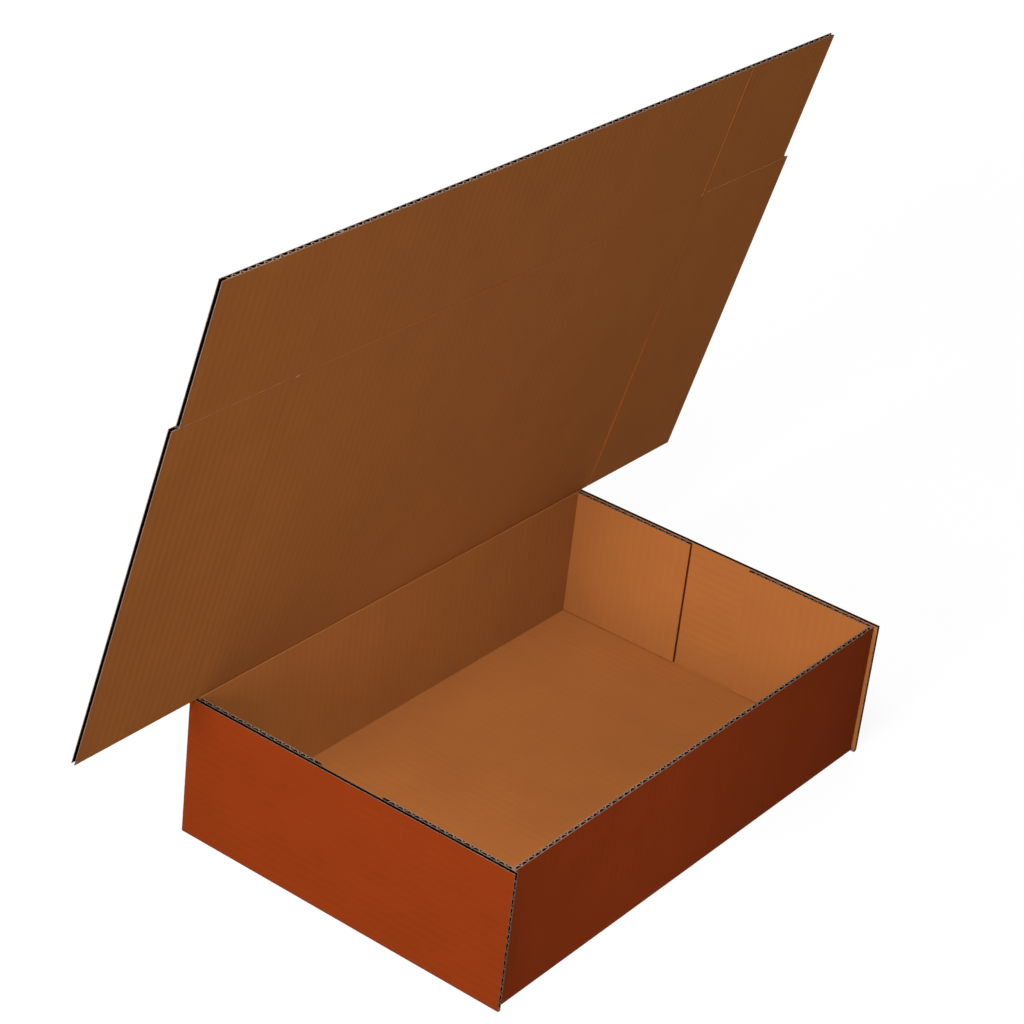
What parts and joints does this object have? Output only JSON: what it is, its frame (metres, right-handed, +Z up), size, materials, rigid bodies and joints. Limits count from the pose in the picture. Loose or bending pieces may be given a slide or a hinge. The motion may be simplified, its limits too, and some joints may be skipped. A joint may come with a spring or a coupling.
{
  "type": "corrugated mailing box with hinged lid",
  "caption": "Open corrugated cardboard mailing box: a low tray with glued corner tabs and a hinged lid whose side flaps, front flap and ears fold down over it.",
  "frame": {"origin": "middle of the tray's underside, on the table", "axes": "+X along the hinge towards the right-hand side wall, +Y from the front wall to the hinge, +Z up"},
  "size_m": [0.6274, 0.261, 0.4588],
  "materials": {
    "board": "uncoated kraft board, printed matt red-brown outside"
  },
  "bodies": {
    "tray": {"tray": "board"},
    "lid_panel": {"lid_panel": "board"},
    "lid_left_flap": {"lid_left_flap": "board"},
    "lid_right_flap": {"lid_right_flap": "board"},
    "lid_front_flap": {"lid_front_flap": "board"},
    "left_ear": {"left_ear": "board"},
    "right_ear": {"right_ear": "board"}
  },
  "joints": [
    {"name": "lid_hinge", "type": "hinge", "parent": "tray", "child": "lid_panel", "pos_m": [0, 0.1265, 0.1048], "axis": [1, 0, 0], "range_deg": [-104, 76]},
    {"name": "left_flap_fold", "type": "hinge", "parent": "lid_panel", "child": "lid_left_flap", "pos_m": [-0.2112, 0.09329, 0.23179], "axis": [0, -0.2419, 0.9703], "range_deg": [0, 90]},
    {"name": "right_flap_fold", "type": "hinge", "parent": "lid_panel", "child": "lid_right_flap", "pos_m": [0.2112, 0.09329, 0.23179], "axis": [0, 0.2419, -0.9703], "range_deg": [0, 90]},
    {"name": "front_flap_fold", "type": "hinge", "parent": "lid_panel", "child": "lid_front_flap", "pos_m": [0, 0.06154, 0.35914], "axis": [1, 0, 0], "range_deg": [0, 90]},
    {"name": "left_ear_fold", "type": "hinge", "parent": "lid_front_flap", "child": "left_ear", "pos_m": [-0.2077, 0.0492, 0.40862], "axis": [0, -0.2419, 0.9703], "range_deg": [0, 90]},
    {"name": "right_ear_fold", "type": "hinge", "parent": "lid_front_flap", "child": "right_ear", "pos_m": [0.2077, 0.0492, 0.40862], "axis": [0, 0.2419, -0.9703], "range_deg": [0, 90]}
  ]
}
